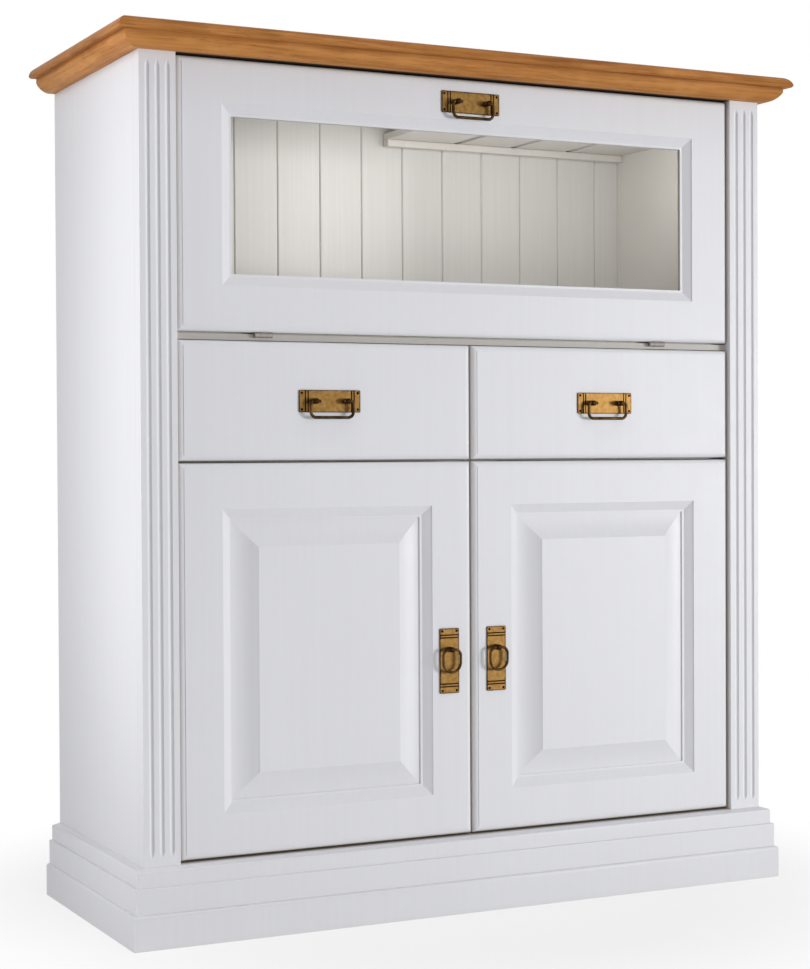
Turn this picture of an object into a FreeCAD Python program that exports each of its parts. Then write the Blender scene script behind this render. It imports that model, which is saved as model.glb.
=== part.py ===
import FreeCAD, Part
import os
from math import asin, atan2, cos, degrees, radians, sin

V = FreeCAD.Vector

# Bar cabinet: a fluted carcase on a stepped plinth, with a glazed fold-down flap, two drawers and two doors.
# All lengths are in millimetres. X runs to the viewer's right, Y runs back, Z runs up from the floor.
# Depths in this file are measured back from the face of the pilasters.

# Carcase
body_width = 1150.0
body_depth = 437.0
side_thickness = 22.0
panel_thickness = 18.0
pilaster_width = 60.0
pilaster_thickness = 25.0
back_thickness = 10.0

# Stack of fronts, from the plinth up
plinth_height = 122.0
bottom_gap = 3.5
door_height = 615.5
door_drawer_gap = 3.5
drawer_height = 187.5
flap_gap = 13.5
flap_height = 424.0
top_gap = 2.5
deck_lift = 0.8
top_rail_depth = 20.0
flap_stop_drop = 18.0

# Fronts
front_setback = 5.0
front_thickness = 20.0
side_gap = 2.5
middle_gap = 4.0
lip_width = 9.0
lip_step = 1.0
lip_round = 7.0
stop_gap = 1.0

# Plinth tiers
plinth_wall = 24.0
plinth_land = 12.0
plinth_foot_reach = 24.5
plinth_foot_height = 54.0
plinth_foot_round = 5.0
plinth_middle_reach = 19.0
plinth_middle_height = 40.0
plinth_middle_round = 1.5
plinth_top_reach = 14.0
plinth_top_round = 4.0
plinth_top_fall = 2.5

# Cornice and top
moulding_height = 23.0
moulding_reach = 32.0
moulding_fillet = 7.0
top_thickness = 18.5
top_reach = 45.0
top_nose_width = 21.0
top_nose_drop = 14.0
top_under_round = 4.5

# Pilaster flutes
flute_count = 3
flute_pitch = 16.5
flute_width = 8.0
flute_depth = 3.0
flute_end = 10.0
flute_taper = 13.0

# Frames, panels and glass
moulding_width = 19.0
moulding_quirk = 1.0
moulding_land = 4.0
moulding_lip = 2.5
moulding_depth = 11.0
door_stile = 72.0
door_top_rail = 72.0
door_bottom_rail = 68.5
flap_stile = 74.0
flap_top_rail = 69.0
flap_bottom_rail = 71.5
groove_depth = 8.0
tongue_thickness = 5.0
panel_bevel = 41.0
field_step = 0.4
field_depth = 0.5
fit_clearance = 0.2
rebate_width = 10.0
glass_thickness = 4.0
bead_round = 5.0

# Tongue and groove back boards
board_count = 14
board_trim = 31.5
board_gap = 0.4
board_chamfer = 2.0
board_tongue = 5.0
board_tongue_thickness = 3.5

# Stemware rack under the top
rack_left = 45.0
rack_pitch = 120.5
rack_end_board = 124.0
rack_slot = 14.0
rack_slot_count = 3
rack_board_thickness = 12.0
rack_headroom = 34.0
rack_setback = 5.0
rack_batten_width = 24.0
rack_rail_height = 12.5
rack_rail_depth = 20.0

# Drawers
drawer_side_height = 130.0
drawer_side_thickness = 12.0
drawer_back_room = 42.0
drawer_back_drop = 12.0
drawer_bottom_thickness = 6.0
drawer_bottom_height = 12.0
drawer_bottom_groove = 6.0
drawer_play = 1.5
running_gap = 0.3
divider_thickness = 20.0
guide_height = 60.0
guide_back_room = 27.0

# Cupboard shelf
shelf_height = 300.0
shelf_front = 80.0
shelf_play = 1.0
shelf_pin_radius = 2.5
shelf_pin_length = 22.0
shelf_pin_socket = 10.0
shelf_pin_inset = 50.0

# Flap hinges
hinge_spread = 368.0
hinge_width = 30.0
hinge_axis_depth = 6.0
hinge_knuckle_radius = 4.0
hinge_pin_radius = 2.0
hinge_knuckle_middle = 12.0
hinge_knuckle_gap = 0.4
hinge_leaf_thickness = 2.0
hinge_edge_gap = 0.4
hinge_leaf_reach = 13.0
leaf_gap = 0.3
pin_clearance = 0.05
lip_clearance = 0.5
lip_drop = 8.0
floor_behind_flap = 1.2

# Flap stays
stay_radius = 130.0
stay_pivot_depth = 12.0
stay_start_angle = 12.0
stay_open_angle = 90.0
stay_bar_height = 12.0
stay_bar_thickness = 3.0
stay_bar_inset = 12.0
stay_eye_radius = 2.5
stay_guide_length = 14.0
stay_guide_height = 20.0
stay_guide_wall = 4.0
stay_spindle_radius = 4.0
stay_spindle_depth = 12.0
stay_bracket_height = 16.0
stay_stop_radius = 3.0
stay_stop_length = 12.0
batten_depth = 60.0

# Door hinges
cup_radius = 17.5
cup_depth = 12.0
cup_wall = 1.0
cup_offset = 22.5
cup_lug = 7.0
door_pin_offset = 17.0
door_pin_depth = 13.0
door_pin_radius = 1.5
door_pin_length = 29.0
arm_width = 16.0
arm_eye_radius = 3.5
arm_nose = 12.5
arm_leg = 4.5
arm_reach = 36.0
arm_foot = 10.0
door_hinge_inset = 90.0
hinge_batten_depth = 40.0

# Magnetic catches and their strike plates
catch_width = 45.0
catch_height = 13.0
catch_depth = 18.0
catch_gap = 0.3
strike_thickness = 1.0
strike_height = 10.0
door_catch_offset = 10.0
flap_catch_offset = 200.0

# Handles
plate_length = 107.0
plate_width = 35.5
plate_thickness = 2.0
plate_corner = 2.0
score_width = 0.9
score_depth = 0.5
score_offset = 11.0
score_spacing = 4.5
plate_pin_radius = 1.7
plate_pin_height = 1.1
plate_pin_inset = 4.5
post_radius = 4.5
post_length = 14.0
post_round = 2.0
post_shank_radius = 2.0
post_shank_length = 12.0
post_half_spacing = 28.0
bail_standoff = 9.0
bail_radius = 2.5
bail_half_width = 37.0
bail_drop = 26.0
bail_stub_end = 20.0
bail_shoulder = 4.0
bail_corner = 9.0
ring_radius = 2.25
ring_post_rise = 19.0
ring_half_width = 16.0
ring_shoulder = 10.0
ring_drop = 37.0
door_handle_inset = 42.0
door_handle_height = 287.5
flap_handle_drop = 39.0

# Places worked out from the sizes above
half_body = body_width / 2
half_inside = half_body - side_thickness
half_opening = half_body - pilaster_width
half_front = half_opening - side_gap
front_back = front_setback + front_thickness
carcase_front = front_back + stop_gap
inside_back = body_depth - back_thickness
door_low = plinth_height + bottom_gap
door_high = door_low + door_height
drawer_low = door_high + door_drawer_gap
drawer_high = drawer_low + drawer_height
flap_low = drawer_high + flap_gap
flap_high = flap_low + flap_height
pilaster_high = flap_high + top_gap
carcase_high = pilaster_high + moulding_height
top_high = carcase_high + top_thickness
deck_low = door_high + deck_lift
deck_high = deck_low + panel_thickness
ceiling_low = carcase_high - panel_thickness
flap_hinge_depth = front_setback + hinge_axis_depth
flap_hinge_height = flap_low - hinge_knuckle_radius - hinge_edge_gap
bar_floor_high = flap_hinge_height + front_back - flap_hinge_depth
bar_floor_low = flap_hinge_height - lip_drop
top_rail_back = carcase_front + top_rail_depth
flap_stop_low = flap_high - flap_stop_drop
rack_front = pilaster_thickness + batten_depth + rack_setback
rack_high = ceiling_low - rack_headroom
rack_low = rack_high - rack_board_thickness
plate_face = front_setback - plate_thickness
board_width = 2 * (half_inside + board_trim) / board_count
front_plane = top_reach - (body_depth + top_reach) / 2


def box(x, y, z):
    """A block between the low and high values of each axis."""
    return Part.makeBox(x[1] - x[0], y[1] - y[0], z[1] - z[0], V(x[0], y[0], z[0]))


def rod(radius, start, end):
    """A round bar from one point to another."""
    return Part.makeCylinder(radius, (end - start).Length, start, end - start)


def edges_along(points, place):
    """Straight and curved edges through points; a pair of points is an arc's middle and end."""
    edges = []
    last = points[0]
    for item in points[1:]:
        if isinstance(item[0], tuple):
            middle, end = item
            edges.append(Part.Arc(place(last), place(middle), place(end)).toShape())
        else:
            end = item
            edges.append(Part.LineSegment(place(last), place(end)).toShape())
        last = end
    return edges


def prism(axis, outline, low, high):
    """A closed outline pushed along an axis; the outline's values follow the two other axes in order."""
    places = {
        "x": lambda p: V(low, p[0], p[1]),
        "y": lambda p: V(p[0], low, p[1]),
        "z": lambda p: V(p[0], p[1], low),
    }
    ways = {"x": V(high - low, 0, 0), "y": V(0, high - low, 0), "z": V(0, 0, high - low)}
    edges = edges_along(outline + [outline[0]], places[axis])
    return Part.Face(Part.Wire(edges)).extrude(ways[axis])


def quarter(start, corner, end):
    """The middle point of a rounding from start to end, whose curve is hollow towards the far corner."""
    share = 1 - cos(radians(45))
    return (
        corner[0] + share * (start[0] - corner[0] + end[0] - corner[0]),
        corner[1] + share * (start[1] - corner[1] + end[1] - corner[1]),
    )


def moulded(x, z, profile):
    """A rectangular block whose four edges follow one profile of insets and depths, front to back."""
    margin = 1 + max(abs(p[0]) if not isinstance(p[0], tuple) else abs(p[1][0]) for p in profile)
    sides = []
    for axis, across, along in (("z", x, z), ("x", z, x)):
        low, high = across
        start, end = profile[0], profile[-1]
        if axis == "z":
            far = [edges_along(profile, lambda p: V(high - p[0], p[1], 0))]
            near = [edges_along(profile, lambda p: V(low + p[0], p[1], 0))]
            caps = [(V(high - p[0], p[1], 0), V(low + p[0], p[1], 0)) for p in (start, end)]
            push = V(0, 0, along[1] - along[0] + 2 * margin)
            shift = V(0, 0, along[0] - margin)
        else:
            far = [edges_along(profile, lambda p: V(0, p[1], high - p[0]))]
            near = [edges_along(profile, lambda p: V(0, p[1], low + p[0]))]
            caps = [(V(0, p[1], high - p[0]), V(0, p[1], low + p[0])) for p in (start, end)]
            push = V(along[1] - along[0] + 2 * margin, 0, 0)
            shift = V(along[0] - margin, 0, 0)
        edges = far[0] + near[0] + [Part.LineSegment(a, b).toShape() for a, b in caps]
        wire = Part.Wire(Part.__sortEdges__(edges))
        solid = Part.Face(wire).extrude(push)
        solid.translate(shift)
        sides.append(solid)
    return sides[0].common(sides[1])


def grown(span, amount):
    """A span made longer by the same amount at both ends."""
    return (span[0] - amount, span[1] + amount)


def mirrored(shape):
    """The same piece on the other side of the cabinet."""
    return shape.mirror(V(0, 0, 0), V(1, 0, 0))


def save(name, pieces):
    """Write one node from its solids, moved so that the origin is under the middle of the cabinet."""
    solids = [solid for piece in pieces for solid in piece.Solids]
    shape = solids[0] if len(solids) == 1 else Part.makeCompound(solids)
    shape = shape.copy()
    shape.translate(V(0, front_plane, 0))
    shape.exportStep("parts/%s.step" % name)


def mitred_run(outline, reach, inner):
    """Front, left and right strips of one section; the outline holds outward reach and height."""
    heights = [p[1] for p in outline if not isinstance(p[0], tuple)]
    heights += [p[1][1] for p in outline if isinstance(p[0], tuple)]
    low, high = min(heights), max(heights)
    outside = half_body + reach
    inside = half_body - inner

    def turned(place):
        moved = []
        for p in outline:
            moved.append((place(p[0]), place(p[1])) if isinstance(p[0], tuple) else place(p))
        return moved

    front = prism("x", turned(lambda p: (-p[0], p[1])), -outside, outside)
    front_plan = [(-outside, -reach), (outside, -reach), (inside, inner), (-inside, inner)]
    front = front.common(prism("z", front_plan, low, high))
    right = prism("y", turned(lambda p: (half_body + p[0], p[1])), -reach, body_depth)
    right_plan = [(outside, -reach), (outside, body_depth), (inside, body_depth), (inside, inner)]
    right = right.common(prism("z", right_plan, low, high))
    return front, mirrored(right), right


def floor_panel():
    """Cupboard floor, let into the top of the plinth."""
    reach = half_body - plinth_land
    depth = (plinth_land, body_depth - plinth_land)
    return box((-reach, reach), depth, (plinth_height - panel_thickness, plinth_height))


def plinth():
    """Stepped plinth: three mitred members in front and at the sides, a plain board behind."""
    middle_high = plinth_foot_height + plinth_middle_height
    foot_edge = plinth_foot_reach - plinth_foot_round
    foot_side = plinth_foot_height - plinth_foot_round
    middle_edge = plinth_middle_reach - plinth_middle_round
    middle_side = middle_high - plinth_middle_round
    top_edge = plinth_top_reach - plinth_top_round
    top_corner = plinth_height - plinth_top_fall
    foot_start, foot_end = (plinth_foot_reach, foot_side), (foot_edge, plinth_foot_height)
    middle_start, middle_end = (plinth_middle_reach, middle_side), (middle_edge, middle_high)
    top_start, top_end = (plinth_top_reach, top_corner - plinth_top_round), (top_edge, top_corner)
    outline = [
        (-plinth_wall, 0.0),
        (plinth_foot_reach, 0.0),
        foot_start,
        (quarter(foot_start, (plinth_foot_reach, plinth_foot_height), foot_end), foot_end),
        (plinth_middle_reach, plinth_foot_height),
        middle_start,
        (quarter(middle_start, (plinth_middle_reach, middle_high), middle_end), middle_end),
        (plinth_top_reach, middle_high),
        top_start,
        (quarter(top_start, (plinth_top_reach, top_corner), top_end), top_end),
        (0.0, plinth_height),
        (-plinth_wall, plinth_height),
    ]
    members = list(mitred_run(outline, plinth_foot_reach, plinth_wall))
    inner = half_body - plinth_wall
    members.append(box((-inner, inner), (body_depth - plinth_wall, body_depth), (0.0, plinth_height)))
    seat = floor_panel()
    return [member.cut(seat) for member in members]


def side_panel():
    """Right-hand side panel, with sockets for the shelf pins."""
    panel = box((half_inside, half_body), (pilaster_thickness, body_depth), (plinth_height, carcase_high))
    for depth in shelf_pin_depths():
        start = V(half_inside, depth, shelf_pin_level())
        panel = panel.cut(rod(shelf_pin_radius + pin_clearance, start, start + V(shelf_pin_socket, 0, 0)))
    return panel


def pilaster():
    """Right-hand pilaster with tapered flutes."""
    post = box((half_opening, half_body), (0.0, pilaster_thickness), (plinth_height, carcase_high))
    radius = (flute_width ** 2 / 4 + flute_depth ** 2) / (2 * flute_depth)
    low = plinth_height + flute_end
    high = pilaster_high - flute_end
    for number in range(flute_count):
        x = half_body - pilaster_width / 2 + (number - (flute_count - 1) / 2) * flute_pitch
        axis = flute_depth - radius
        middle = rod(radius, V(x, axis, low + flute_taper), V(x, axis, high - flute_taper))
        head = Part.makeCone(radius, 0.0, flute_taper, V(x, axis, high - flute_taper), V(0, 0, 1))
        tail = Part.makeCone(radius, 0.0, flute_taper, V(x, axis, low + flute_taper), V(0, 0, -1))
        for cutter in (middle, head, tail):
            post = post.cut(cutter)
    return post


def bar_floor():
    """Floor of the bar, with a lowered lip in front that carries the flap's hinges."""
    step = front_back + floor_behind_flap
    lip_front = flap_hinge_depth + hinge_knuckle_radius + lip_clearance
    lip_high = flap_hinge_height + hinge_knuckle_radius + hinge_edge_gap - hinge_leaf_thickness - leaf_gap
    floor = box((-half_inside, half_inside), (step, inside_back), (bar_floor_low, bar_floor_high))
    lip = box((-half_opening, half_opening), (lip_front, step), (bar_floor_low, lip_high))
    floor = floor.fuse(lip).removeSplitter()
    for side in (-1, 1):
        x = side * hinge_spread
        pocket_width = hinge_width + 2 * fit_clearance
        pocket = box(
            (x - pocket_width / 2, x + pocket_width / 2),
            (lip_front, step),
            (lip_high - hinge_leaf_thickness, lip_high),
        )
        floor = floor.cut(pocket)
    return floor


def top_rail():
    """Rail over the flap, with a drop behind it that the flap closes against."""
    rail = box((-half_opening, half_opening), (0.0, top_rail_back), (pilaster_high, carcase_high))
    drop = box((-half_opening, half_opening), (carcase_front, top_rail_back), (flap_stop_low, pilaster_high))
    return rail.fuse(drop).removeSplitter()


def carcase_top():
    """Panel under the top, which closes the bar."""
    return box((-half_inside, half_inside), (top_rail_back, inside_back), (ceiling_low, carcase_high))


def back_boards():
    """Tongue and groove boards set upright between the sides, with a groove on the middle line."""
    boards = []
    front, back = inside_back, body_depth
    tongue_low = (front + back - board_tongue_thickness) / 2
    tongue_high = tongue_low + board_tongue_thickness
    play = fit_clearance
    for number in range(board_count):
        left = (number - board_count / 2) * board_width + board_gap / 2
        right = left + board_width - board_gap
        first, last = number == 0, number == board_count - 1
        left = -half_inside if first else left
        right = half_inside if last else right
        outline = [(left, back)]
        if not first:
            outline += [
                (left, tongue_high + play),
                (left + board_tongue + play, tongue_high + play),
                (left + board_tongue + play, tongue_low - play),
                (left, tongue_low - play),
                (left, front + board_chamfer),
            ]
        outline.append((left if first else left + board_chamfer, front))
        outline.append((right if last else right - board_chamfer, front))
        if not last:
            outline += [
                (right, front + board_chamfer),
                (right, tongue_low),
                (right + board_tongue, tongue_low),
                (right + board_tongue, tongue_high),
                (right, tongue_high),
            ]
        outline.append((right, back))
        boards.append(prism("z", outline, plinth_height, carcase_high))
    return boards


def cornice():
    """Rounded moulding under the edge of the top."""
    low, high = pilaster_high, carcase_high
    start, end = (0.0, low), (moulding_reach, high - moulding_fillet)
    bulge = quarter(start, (moulding_reach, low), end)
    outline = [start, (bulge, end), (moulding_reach, high), (0.0, high)]
    return mitred_run(outline, moulding_reach, 0.0)


def top_nosing():
    """Lipping round the top, with a thumb-shaped edge."""
    low, high = carcase_high, top_high
    under, nose = (top_reach - top_under_round, low), (top_reach, low + top_under_round)
    crown = (top_reach - top_nose_width, nose[1] + top_nose_drop)
    outline = [
        (0.0, low),
        under,
        (quarter(under, (top_reach, low), nose), nose),
        (quarter(nose, (top_reach, crown[1]), crown), crown),
        (0.0, high),
    ]
    return mitred_run(outline, top_reach, 0.0)


def shelf_pin_level():
    """Height of the middle of the shelf pins."""
    return plinth_height + shelf_height - shelf_pin_radius


def shelf_pin_depths():
    """Depths of the front and back shelf pins."""
    return (shelf_front + shelf_pin_inset, inside_back - shelf_pin_inset)


def cupboard_shelf():
    """Loose shelf in the cupboard."""
    reach = half_inside - shelf_play
    low = plinth_height + shelf_height
    return box((-reach, reach), (shelf_front, inside_back - shelf_play), (low, low + panel_thickness))


def shelf_pins():
    """Four pegs that carry the shelf."""
    pins = []
    for depth in shelf_pin_depths():
        end = V(half_inside + shelf_pin_socket, depth, shelf_pin_level())
        pin = rod(shelf_pin_radius, end - V(shelf_pin_length, 0, 0), end)
        pins += [pin, mirrored(pin)]
    return pins


def side_battens():
    """Battens between the sides and the opening: for the door hinges, the drawers and the stays."""
    thick = (half_opening, half_inside)
    front = pilaster_thickness
    hinge = box(thick, (front, front + hinge_batten_depth), (plinth_height, deck_low))
    guide = box(thick, (front, inside_back - guide_back_room), (deck_high, deck_high + guide_height))
    stay = box(thick, (front, front + batten_depth), (bar_floor_high, ceiling_low))
    depth, height = stay_guide_pivot()
    start = V(half_opening, depth, height)
    end = start + V(stay_spindle_depth + running_gap, 0, 0)
    stay = stay.cut(rod(stay_spindle_radius + pin_clearance, start, end))
    return [piece for right in (hinge, guide, stay) for piece in (mirrored(right), right)]


def rack_slots():
    """Middle lines of the slots in the stemware rack, set out from the right-hand wall."""
    last = half_inside - rack_end_board
    return [last - number * rack_pitch for number in reversed(range(rack_slot_count))]


def rack_boards():
    """Boards that the feet of upturned glasses rest on, with the stems in the slots between them."""
    edges = [rack_left]
    for middle in rack_slots():
        edges += [middle - rack_slot / 2, middle + rack_slot / 2]
    edges.append(half_inside)
    spans = list(zip(edges[0::2], edges[1::2]))
    return [box(span, (rack_front, inside_back), (rack_low, rack_high)) for span in spans], spans


def rack_battens():
    """Hangers that hold the rack boards under the carcase top, and a rail under their back ends."""
    pieces = []
    for low, high in rack_boards()[1]:
        middle = (low + high) / 2
        span = (middle - rack_batten_width / 2, middle + rack_batten_width / 2)
        pieces.append(box(span, (rack_front, inside_back), (rack_high, ceiling_low)))
    rail_depth = (inside_back - rack_rail_depth, inside_back)
    pieces.append(box((rack_left, half_inside), rail_depth, (rack_low - rack_rail_height, rack_low)))
    return pieces


def front_profile():
    """Edge of every front: a small step, then a rounding."""
    face = front_setback
    start, end = (lip_round, face + lip_step), (0.0, face + lip_step + lip_round)
    return [
        (lip_width, face),
        (lip_width, face + lip_step),
        start,
        (quarter(start, (0.0, face + lip_step), end), end),
        (0.0, front_back),
    ]


def sight(x, z, stiles, bottom_rail, rail):
    """Clear opening of a frame, inside its moulding."""
    return (
        (x[0] + stiles + moulding_width, x[1] - stiles - moulding_width),
        (z[0] + bottom_rail + moulding_width, z[1] - rail - moulding_width),
    )


def frame(x, z, clear):
    """A front whose opening has a small step, a chamfer and a flat land round it."""
    face = front_setback
    land = face + moulding_depth - moulding_lip
    opening = [
        (-moulding_width, 0.0),
        (-moulding_width, face + moulding_quirk),
        (-moulding_land, land),
        (0.0, land),
        (0.0, carcase_front),
    ]
    return moulded(x, z, front_profile()).cut(moulded(clear[0], clear[1], opening))


def split_frame(whole, x, z, clear):
    """Two upright stiles, and a bottom and a top rail between them."""
    depth = (0.0, carcase_front)
    stiles = [
        whole.common(box((x[0], clear[0][0]), depth, z)),
        whole.common(box((clear[0][1], x[1]), depth, z)),
    ]
    rails = [
        whole.common(box(clear[0], depth, (z[0], clear[1][0]))),
        whole.common(box(clear[0], depth, (clear[1][1], z[1]))),
    ]
    return stiles, rails


def bored(front, places):
    """A front with holes for the shanks of its handle posts."""
    for x, z in places:
        start = V(x, front_setback, z)
        length = post_shank_length + fit_clearance
        front = front.cut(rod(post_shank_radius + fit_clearance, start, start + V(0, length, 0)))
    return front


def handle_plate(x, z, upright, posts):
    """Scored back plate, its corner pins and the posts that carry the bail or ring."""
    half_long, half_short = plate_length / 2, plate_width / 2
    plate = box((-half_long, half_long), (plate_face, front_setback), (-half_short, half_short))
    corners = [edge for edge in plate.Edges if abs(edge.Length - plate_thickness) < fit_clearance]
    plate = plate.makeFillet(plate_corner, corners)
    for side in (-1, 1):
        for line in (score_offset, score_offset + score_spacing):
            middle = side * (half_long - line)
            span = (middle - score_width / 2, middle + score_width / 2)
            score = (plate_face, plate_face + score_depth)
            plate = plate.cut(box(span, score, (-half_short, half_short)))
    pins = []
    dome = (plate_pin_radius ** 2 + plate_pin_height ** 2) / (2 * plate_pin_height)
    for side in (-1, 1):
        for end in (-1, 1):
            place = V(end * (half_long - plate_pin_inset), plate_face + dome - plate_pin_height, 0)
            place.z = side * (half_short - plate_pin_inset)
            ball = Part.makeSphere(dome, place)
            room = box((-half_long, half_long), (-half_long, plate_face), (-half_short, half_short))
            pins.append(ball.common(room))
    pieces = [plate] + pins
    for piece in pieces:
        if upright:
            piece.rotate(V(0, 0, 0), V(0, 1, 0), 90)
        piece.translate(V(x, 0, z))
    plate = pieces[0]
    for post_x, post_z in posts:
        start = V(post_x, plate_face, post_z)
        plate = plate.cut(rod(post_shank_radius + fit_clearance, start, start + V(0, plate_thickness, 0)))
    pieces[0] = plate
    wire = ring_radius if upright else bail_radius
    return pieces + [handle_post(post_x, post_z, wire) for post_x, post_z in posts]


def handle_post(x, z, hole):
    """Round post with a cross hole, screwed into the front behind it."""
    tip = plate_face - post_length
    post = rod(post_radius, V(x, plate_face, z), V(x, tip, z))
    rim = [edge for edge in post.Edges if edge.BoundBox.YMax < tip + post_round]
    post = post.makeFillet(post_round, rim)
    shank = rod(post_shank_radius, V(x, plate_face, z), V(x, front_setback + post_shank_length, z))
    post = post.fuse(shank).removeSplitter()
    eye = V(x, plate_face - bail_standoff, z)
    cross = V(post_radius, 0, 0)
    return post.cut(rod(hole + pin_clearance, eye - cross, eye + cross))


def swept(points, radius, depth):
    """Round wire along a path of straight runs and tangent arcs at one depth."""
    edges = edges_along(points, lambda p: V(p[0], depth, p[1]))
    path = Part.Wire(edges)
    start = edges[0].valueAt(edges[0].FirstParameter)
    way = edges[0].tangentAt(edges[0].FirstParameter)
    circle = Part.Wire(Part.Edge(Part.Circle(start, way, radius)))
    return path.makePipeShell([circle], True, False)


def bail(x, z):
    """Drop handle: a bent wire whose ends turn inward through the two posts."""
    arm, low = bail_half_width, -bail_drop
    shoulder, corner = bail_shoulder, bail_corner
    right = [
        (bail_stub_end, 0.0),
        (arm - shoulder, 0.0),
        (quarter((arm - shoulder, 0.0), (arm, 0.0), (arm, -shoulder)), (arm, -shoulder)),
        (arm, low + corner),
        (quarter((arm, low + corner), (arm, low), (arm - corner, low)), (arm - corner, low)),
    ]
    left = [
        (corner - arm, low),
        (quarter((corner - arm, low), (-arm, low), (-arm, low + corner)), (-arm, low + corner)),
        (-arm, -shoulder),
        (quarter((-arm, -shoulder), (-arm, 0.0), (shoulder - arm, 0.0)), (shoulder - arm, 0.0)),
        (-bail_stub_end, 0.0),
    ]
    wire = swept(right + left, bail_radius, plate_face - bail_standoff)
    wire.translate(V(x, 0, z))
    return wire


def ring(x, z):
    """Oval pull: a closed wire whose straight top runs through the post."""
    wide, shoulder = ring_half_width, ring_shoulder
    low = ring_half_width - ring_drop
    top = wide - shoulder
    turn = cos(radians(45)) * wide
    half = [
        (0.0, 0.0),
        (top, 0.0),
        (quarter((top, 0.0), (wide, 0.0), (wide, -shoulder)), (wide, -shoulder)),
        (wide, low),
        ((turn, low - turn), (0.0, low - wide)),
    ]
    right = swept(half, ring_radius, plate_face - bail_standoff)
    whole = right.fuse(mirrored(right)).removeSplitter()
    whole.translate(V(x, 0, z))
    return whole


def plain_bail_posts(x, z):
    """Places of the two posts of a bail handle."""
    return [(x - post_half_spacing, z), (x + post_half_spacing, z)]


def save_drawer(name, side):
    """One drawer: its front, its box and its handle. Side is -1 on the left and 1 on the right."""
    x = tuple(sorted((side * middle_gap / 2, side * half_front)))
    z = (drawer_low, drawer_high)
    middle, height = sum(x) / 2, sum(z) / 2
    posts = plain_bail_posts(middle, height)
    save(name + "_front", [bored(moulded(x, z, front_profile()), posts)])
    save(name + "_handle_plate", handle_plate(middle, height, False, posts))
    save(name + "_bail", [bail(middle, height)])

    outer = half_opening - drawer_play
    inner = divider_thickness / 2 + drawer_play
    low = deck_high + running_gap
    back = inside_back - drawer_back_room
    groove_low = low + drawer_bottom_height
    groove_high = groove_low + drawer_bottom_thickness
    groove = drawer_bottom_groove
    room = (inner + drawer_side_thickness - groove, outer - drawer_side_thickness + groove)
    sides = []
    for span in ((inner, inner + drawer_side_thickness), (outer - drawer_side_thickness, outer)):
        board = box(span, (front_back, back), (low, low + drawer_side_height))
        slot = box(room, (front_back, back), (groove_low - fit_clearance, groove_high + fit_clearance))
        sides.append(board.cut(slot))
    clear = (inner + drawer_side_thickness, outer - drawer_side_thickness)
    back_board = box(
        clear,
        (back - drawer_side_thickness, back),
        (groove_high + fit_clearance, low + drawer_side_height - drawer_back_drop),
    )
    bottom = box(grown(room, -fit_clearance), (front_back, back), (groove_low, groove_high))
    pieces = [sides[0], sides[1], back_board, bottom]
    if side < 0:
        pieces = [mirrored(piece) for piece in pieces]
    save(name + "_sides", pieces[:2])
    save(name + "_back", [pieces[2]])
    save(name + "_bottom", [pieces[3]])


def door_hinge_levels():
    """Heights of the two hinges on each door."""
    return (door_low + door_hinge_inset, door_high - door_hinge_inset)


def door_pin_place():
    """Where the right-hand door turns: its place across and its depth."""
    return (half_front - door_pin_offset, front_setback + door_pin_depth)


def hinge_cup(level):
    """Round cup let into the right-hand door's stile, with two lugs that turn on the pin."""
    x = half_front - cup_offset
    back = front_back
    floor = back - cup_depth
    pin_x, pin_depth = door_pin_place()
    cup = rod(cup_radius, V(x, floor, level), V(x, back, level))
    hollow = rod(cup_radius - cup_wall, V(x, floor + cup_wall, level), V(x, back, level))
    inside = cup.common(hollow)
    cup = cup.cut(hollow)
    lug_span = (pin_x - cup_lug / 2, pin_x + cup_lug / 2)
    lug_depth = (floor, pin_depth + cup_lug / 2)
    lug_start = arm_width / 2 + cup_wall
    for way in (-1, 1):
        reach = tuple(sorted((level + way * lug_start, level + way * cup_radius)))
        cup = cup.fuse(box(lug_span, lug_depth, reach).common(inside))
    axis = V(pin_x, pin_depth, level)
    half_pin = V(0, 0, door_pin_length / 2 + fit_clearance)
    return cup.cut(rod(door_pin_radius + pin_clearance, axis - half_pin, axis + half_pin)).removeSplitter()


def hinge_arm(level):
    """Cranked arm from the batten to the pin of the right-hand door, with the pin in its eye."""
    pin_x, pin_depth = door_pin_place()
    height = (level - arm_width / 2, level + arm_width / 2)
    leg_high = pin_x - arm_nose
    leg_low = leg_high - arm_leg
    back = pin_depth + arm_reach
    outline = [
        (pin_x, pin_depth - arm_eye_radius),
        ((pin_x + arm_eye_radius, pin_depth), (pin_x, pin_depth + arm_eye_radius)),
        (leg_high, pin_depth + arm_eye_radius),
        (leg_high, back - arm_foot),
        (half_opening, back - arm_foot),
        (half_opening, back),
        (leg_low, back),
        (leg_low, pin_depth - arm_eye_radius),
    ]
    arm = prism("z", outline, height[0], height[1])
    axis = V(pin_x, pin_depth, level)
    half_pin = V(0, 0, door_pin_length / 2)
    arm = arm.cut(rod(door_pin_radius + pin_clearance, axis - half_pin, axis + half_pin))
    return [arm, rod(door_pin_radius, axis - half_pin, axis + half_pin)]


def strike(x, z):
    """Steel plate on the back of a front, which a magnet holds."""
    span = (x - catch_width / 2, x + catch_width / 2)
    height = (z - strike_height / 2, z + strike_height / 2)
    return box(span, (front_back - strike_thickness, front_back), height)


def door_catch_place():
    """Middle of the right-hand door's catch."""
    return (door_catch_offset + catch_width / 2, deck_low - catch_height / 2)


def flap_catch_place():
    """Middle of the right-hand catch of the flap."""
    return (flap_catch_offset + catch_width / 2, flap_stop_low - catch_height / 2)


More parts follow.
